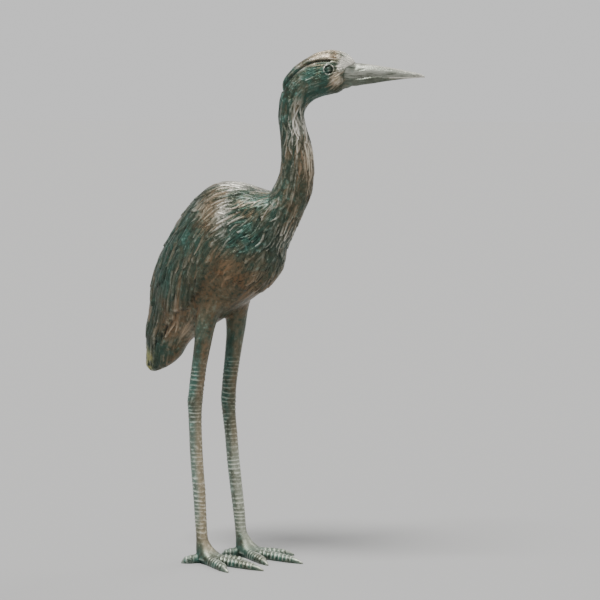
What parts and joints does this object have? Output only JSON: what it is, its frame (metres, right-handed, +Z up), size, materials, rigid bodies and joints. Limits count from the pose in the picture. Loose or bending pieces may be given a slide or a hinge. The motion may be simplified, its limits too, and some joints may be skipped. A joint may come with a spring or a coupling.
{
  "type": "bronze heron garden figure",
  "caption": "Standing heron cast in patinated bronze, head turned to its left, carved plumage, ringed legs and flat-soled toes.",
  "frame": {"origin": "on the ground under the middle of the figure's box", "axes": "+X the way the breast faces, +Y to the bird's left, +Z up"},
  "size_m": [0.4454, 0.161, 0.7875],
  "materials": {
    "patinated_bronze": "dark brown patina with verdigris in the recesses and worn pale highlights"
  },
  "bodies": {
    "root": {"heron": "patinated_bronze"}
  },
  "joints": []
}
